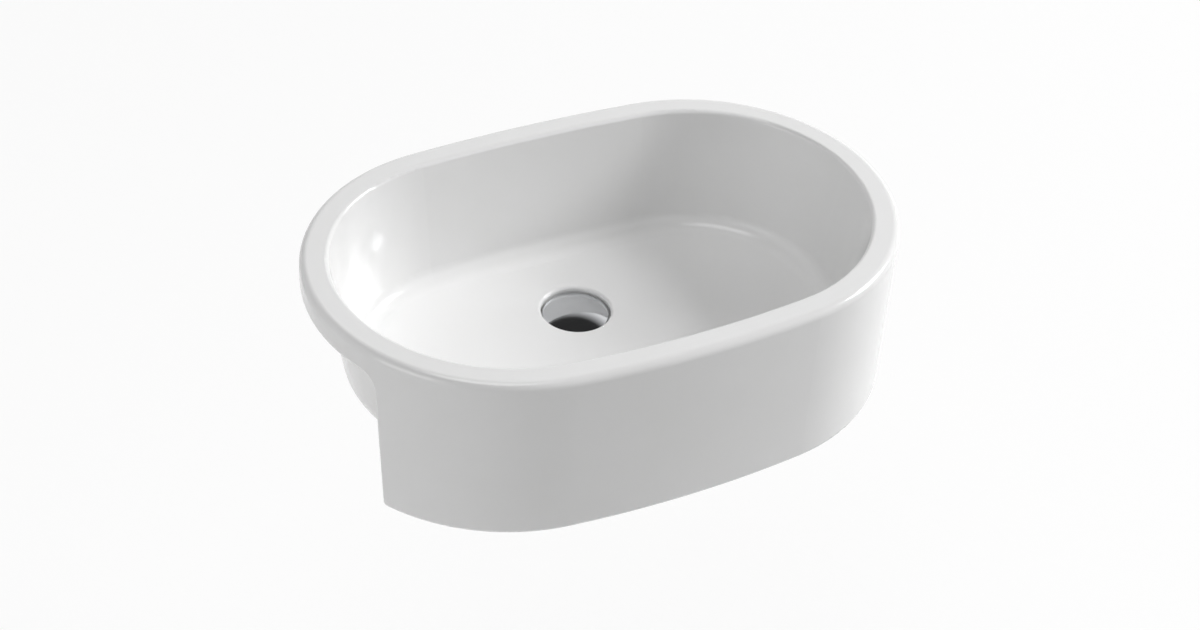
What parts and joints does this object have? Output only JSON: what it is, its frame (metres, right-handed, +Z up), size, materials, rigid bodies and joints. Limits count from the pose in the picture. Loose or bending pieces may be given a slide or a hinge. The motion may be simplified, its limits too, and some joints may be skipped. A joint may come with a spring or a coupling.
{
  "type": "semi recessed basin",
  "caption": "Oval white china basin that hangs over the front edge of a worktop, with a deep front skirt and a press-to-close domed waste.",
  "frame": {"origin": "middle of the basin's outline on the worktop surface that carries the rim's underside", "axes": "+X right along the worktop, +Y towards the wall, +Z up out of the worktop"},
  "size_m": [0.56, 0.37, 0.216],
  "materials": {
    "china": "white gloss glaze",
    "polished_chrome": "polished",
    "plated_brass": "satin plated",
    "brass": "machined",
    "black_rubber": "matt",
    "white_rubber": "matt",
    "acetal": "matt",
    "nylon_grey": "matt",
    "spring_steel": "drawn wire",
    "zinc_steel": "zinc plated"
  },
  "bodies": {
    "basin": {"basin_body": "china", "cartridge_barrel": "brass", "cartridge_spring": "spring_steel", "cartridge_clip": "spring_steel", "cartridge_locknut": "brass", "waste_body": "plated_brass", "flange_gasket": "white_rubber", "outlet_gasket": "black_rubber", "slip_washer": "nylon_grey", "back_nut": "plated_brass", "anchor_plugs": "nylon_grey", "fixing_studs": "zinc_steel", "clamp_plates": "zinc_steel", "clamp_washers": "zinc_steel", "wing_nuts": "zinc_steel"},
    "plunger": {"waste_cap": "polished_chrome", "cap_boss": "brass", "cap_seal": "black_rubber", "seal_retainer": "acetal", "plunger_stem": "brass"},
    "rotor": {"cam_rotor": "acetal"}
  },
  "joints": [
    {"name": "cap_slide", "type": "slide", "parent": "basin", "child": "plunger", "axis": [0, 0, 1], "range_m": [0, 0.0085], "deforming": ["cartridge_spring"]},
    {"name": "rotor_turn", "type": "hinge", "parent": "plunger", "child": "rotor", "pos_m": [0, 0.052, -0.135], "axis": [0, 0, 1], "range_deg": [0, 30]}
  ],
  "couplings": [
    {"joint": "rotor_turn", "follows": "cap_slide", "rad_per_m": 61.5}
  ]
}
